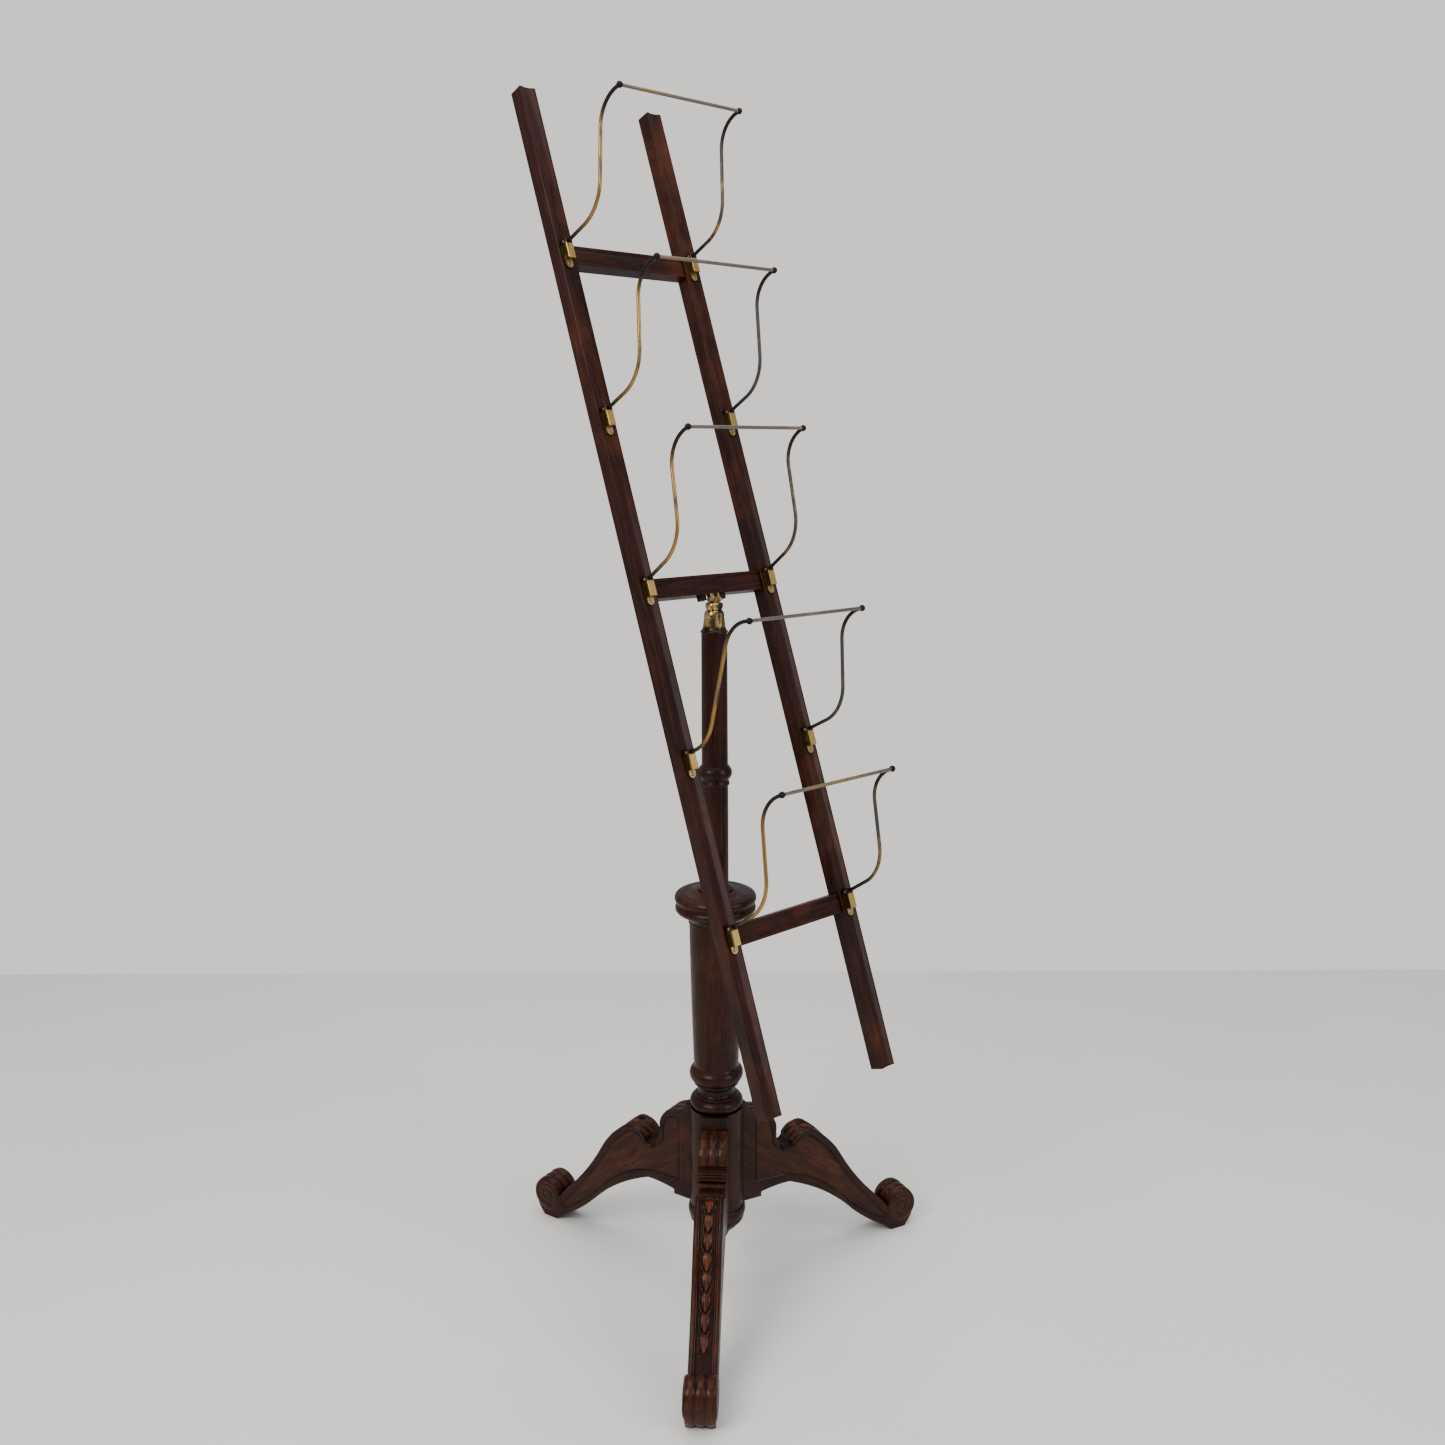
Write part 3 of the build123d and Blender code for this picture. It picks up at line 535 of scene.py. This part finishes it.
def carved_band(points, normals, stretches):
    """The band round the leg, as vertices (radius, height, sideways), how much lighter each is painted
    (scuffed wood and painted highlight), and faces.
    """
    across = np.linspace(-1, 1, 61)
    rim, _ = side_height(points - normals * EDGE)
    verts, scuffed_and_highlit, faces = [], [], []
    for p, n, (kind, t, length), half in zip(points, normals, stretches, rim):
        w = across * (half - EDGE)
        depth, scuff_and_highlight = carve(kind, t, length, w, half)
        surface = p + n * np.minimum(depth, 0.0)[:, None]
        corner = p - n * EDGE
        verts += [(*corner, -half), *zip(*surface.T, w), (*corner, half)]
        scuffed_and_highlit += [0.1, *scuff_and_highlight, 0.1]
    wide = len(across) + 2
    for i in range(len(points)):
        here = i * wide
        after = (i + 1) % len(points) * wide
        faces += [(here + k, here + k + 1, after + k + 1, after + k) for k in range(wide - 1)]
    return verts, scuffed_and_highlit, faces


def side_points(loop):
    """Points inside the loop for a side of the leg: rows beside the incised lines, and a grid elsewhere."""
    radii = np.arange(34, 360, GRID_STEP)
    heights = np.arange(2, 292, GRID_STEP)
    rows = [[(x + (i % 2) * GRID_STEP / 2, z) for x in radii] for i, z in enumerate(heights)]
    grid = np.concatenate(rows)
    guides = []
    for line in (PANEL_LINE, SPIRAL):
        even = resample(line, 1.3)
        turn = np.gradient(even, axis=0)
        turn /= np.hypot(*turn.T)[:, None]
        out = np.stack([-turn[:, 1], turn[:, 0]], 1)
        guides += [even + out * offset for offset in (-2.0, -1.0, 0.0, 1.0, 2.0)]
    clear = np.minimum(to_line(grid, PANEL_LINE), to_line(grid, SPIRAL)) > 3.2
    inner = np.concatenate(guides + [grid[clear]])
    closed = np.concatenate([loop, loop[:1]])
    return inner[inside(inner, loop) & (to_line(inner, closed) > 1.2)]


def leg_surface():
    """The whole surface of a leg: vertices (radius, height, sideways), how much lighter each is painted
    (scuffed wood, and painted highlight on the carving), and faces.
    """
    points, normals, stretches = leg_profile()
    verts, scuffed_and_highlit, faces = carved_band(points, normals, stretches)
    loop = points - normals * EDGE
    cloud = [Vector(p) for p in np.concatenate([loop, side_points(loop)])]
    ring = [(i, (i + 1) % len(loop)) for i in range(len(loop))]
    flat, _, triangles, _, _, _ = delaunay_2d_cdt(cloud, ring, [], 1, 1e-4)
    flat = np.array([tuple(v) for v in flat])
    height, side_bare = side_height(flat)
    for sign in (-1, 1):
        base = len(verts)
        verts += [(r, z, sign * h) for (r, z), h in zip(flat, height)]
        scuffed_and_highlit += list(side_bare)
        faces += [tuple(base + i for i in corners[::-sign]) for corners in triangles]
    return np.array(verts) * MM, scuffed_and_highlit, faces


def merge_seams(mesh):
    work = bmesh.new()
    work.from_mesh(mesh)
    bmesh.ops.remove_doubles(work, verts=work.verts, dist=0.00002)
    bmesh.ops.recalc_face_normals(work, faces=work.faces)
    work.to_mesh(mesh)
    work.free()


def add_object(name, data):
    obj = bpy.data.objects.new(name, data)
    bpy.context.scene.collection.objects.link(obj)
    return obj


def carved_leg(name, angle, surface):
    """A leg's surface, turned to its angle about the column."""
    verts, scuffed_and_highlit, faces = surface
    out = np.array((math.cos(angle), math.sin(angle), 0.0))
    side = np.array((-math.sin(angle), math.cos(angle), 0.0))
    place = verts[:, :1] * out + verts[:, 2:] * side + verts[:, 1:2] * np.array((0, 0, 1.0))
    place += np.array((AXIS.x, AXIS.y, 0.0))
    mesh = bpy.data.meshes.new(name)
    mesh.from_pydata([tuple(v) for v in place], [], faces)
    mesh.attributes.new("scuffed_and_highlit", "FLOAT", "POINT").data.foreach_set("value", np.array(scuffed_and_highlit, np.float32))
    mesh.update()
    leg = add_object(name, mesh)
    merge_seams(mesh)
    mesh.shade_smooth()
    mesh.set_sharp_from_angle(angle=math.radians(50))
    return leg


# ---------------------------------------------------------------- build and dress
dress(["hub", "base_finial", "column", "upper_post", "leg_dowels"], wood("mahogany_post", (0, 0, 1)))
dress(["stile_left", "stile_right"], wood("mahogany_stile", UP_LADDER, LADDER_MIDDLE, 0.75))
dress(["rail_top", "rail_middle", "rail_bottom", "hinge_block"],
      wood("mahogany_rail", (1, 0, 0), LADDER_MIDDLE, 0.6))

leg_mesh = leg_surface()
for name, degrees in LEG_ANGLES.items():
    angle = math.radians(degrees)
    level = math.cos(LEG_FALL)
    grain = (math.cos(angle) * level, math.sin(angle) * level, math.sin(LEG_FALL))
    leg = carved_leg("carved_" + name, angle, leg_mesh)
    leg.data.materials.append(wood("mahogany_" + name, grain, carved=True).material)
    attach(leg, "stand")
    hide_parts(name)

hinge, _ = metal("hinge_brass", HINGE_GOLD, BLACK_BRASS, 0.42, 0.62, 0.32, 180.0)
screw, _ = metal("screw_steel", SCREW_BRIGHT, SCREW_DARK, 0.42, 0.62, 0.35, 300.0)
bar, _ = metal("bar_worn_plate", BAR_GREY, BAR_GOLD, 0.46, 0.62, 0.3, 22.0, (1, 0, 0), 2.0, 0.0)
knob, _ = metal("knob_black", KNOB_BLACK, KNOB_DARKER, 0.4, 0.6, 0.36, 200.0, edge_gain=0.0)
dress(["bell_ferrule", "swivel_collar"], bell_brass())
dress(["tilt_tongue", "hinge_fork"], hinge)
dress([f"bracket_{side}_{tier}" for side in ("left", "right") for tier in TIERS], bracket_brass())
dress(["bracket_screws", "bail_pins", "hinge_screws", "tilt_bolt", "tilt_nut", "swivel_spindle"], screw)
dress([f"bail_{tier}_bar" for tier in TIERS], bar)
dress([f"bail_{tier}_knobs" for tier in TIERS], knob)
for tier in TIERS:
    wire(tier, "left", 0.0)
    wire(tier, "right", 0.11)

# ---------------------------------------------------------------- camera, floor, light
CAMERA_PLACE = Vector((-1.3214, -1.4615, 1.3))
CAMERA_PITCH = 12.06  # degrees below the horizon
CAMERA_ROLL = 0.2
CAMERA_HEADING = 47.46  # degrees from +X towards +Y
HEADING = Vector((math.cos(math.radians(CAMERA_HEADING)), math.sin(math.radians(CAMERA_HEADING)), 0))
SIDEWAYS = Vector((HEADING.y, -HEADING.x, 0))
FLOOR_AHEAD = 3.14  # the floor meets the wall this far from the camera
FLOOR_BEHIND = 2.5
FLOOR_HALF_WIDTH = 6
FLOOR_COLOUR = (0.82, 0.79, 0.735)
WALL_COLOUR = (1.02, 0.985, 0.95)
GLOW_COLOUR = (0.86, 0.9, 1.0)
GLOW = 0.55


def place_camera():
    data = bpy.data.cameras.new("camera")
    data.sensor_width = 36.0
    data.lens = 33.77
    camera = add_object("camera", data)
    camera.location = CAMERA_PLACE
    turns = (90 - CAMERA_PITCH, CAMERA_ROLL, CAMERA_HEADING - 90)
    camera.rotation_euler = [math.radians(turn) for turn in turns]
    return camera


def lay_floor():
    under = Vector((CAMERA_PLACE.x, CAMERA_PLACE.y, 0))
    near = under - HEADING * FLOOR_BEHIND
    far = under + HEADING * FLOOR_AHEAD
    half = SIDEWAYS * FLOOR_HALF_WIDTH
    mesh = bpy.data.meshes.new("floor")
    corners = (near - half, near + half, far + half, far - half)
    mesh.from_pydata([tuple(corner) for corner in corners], [], [(0, 1, 2, 3)])
    s = Shader("floor")
    soft = s.noise(s.place(), 1.6, 3.0, 0.5)
    fine = s.noise(s.place(), 60.0, 4.0, 0.6)
    base = s.mix(s.ramp(soft, 0.3, 0.7), [c * 0.96 for c in FLOOR_COLOUR], FLOOR_COLOUR)
    base = s.mix(s.ramp(fine, 0.6, 0.75, 0.0, 0.08), base, [c * 0.8 for c in FLOOR_COLOUR])
    s.set(Base_Color=base, Roughness=0.42)
    mesh.materials.append(s.material)
    add_object("floor", mesh)


def light_world():
    """The camera sees a pale wall, and the rack is lit by a weaker, cooler glow."""
    world = bpy.data.worlds.new("studio")
    bpy.context.scene.world = world
    world.use_nodes = True
    tree = world.node_tree
    tree.nodes.clear()
    out = tree.nodes.new("ShaderNodeOutputWorld")
    mixer = tree.nodes.new("ShaderNodeMixShader")
    path = tree.nodes.new("ShaderNodeLightPath")
    tree.links.new(path.outputs["Is Camera Ray"], mixer.inputs[0])
    for socket, colour, strength in ((1, GLOW_COLOUR, GLOW), (2, WALL_COLOUR, 1.0)):
        glow = tree.nodes.new("ShaderNodeBackground")
        glow.inputs[0].default_value = (*colour, 1)
        glow.inputs[1].default_value = strength
        tree.links.new(glow.outputs[0], mixer.inputs[socket])
    tree.links.new(mixer.outputs[0], out.inputs[0])


def soft_light(name, place, target, size, power, colour):
    data = bpy.data.lights.new(name, "AREA")
    data.shape = "RECTANGLE"
    data.size, data.size_y = size
    data.energy = power
    data.color = colour
    light = add_object(name, data)
    light.location = place
    light.rotation_euler = (target - place).to_track_quat("-Z", "Y").to_euler()


bpy.context.scene.camera = place_camera()
lay_floor()
light_world()
foot = Vector((AXIS.x, AXIS.y, 0))
up = Vector((0, 0, 1))
soft_light("key", foot - HEADING * 2.2 - SIDEWAYS * 1.8 + up * 2.8, foot + up * 0.9, (1.8, 1.8), 95,
           (1.0, 0.98, 0.95))
soft_light("fill", foot - HEADING * 1.6 + SIDEWAYS * 2.6 + up * 1.9, foot + up * 0.8, (1.6, 2.2), 45,
           (0.95, 0.97, 1.0))
soft_light("top", foot + HEADING * 0.3 + up * 3.4, foot, (2.6, 2.6), 60, (1, 1, 1))
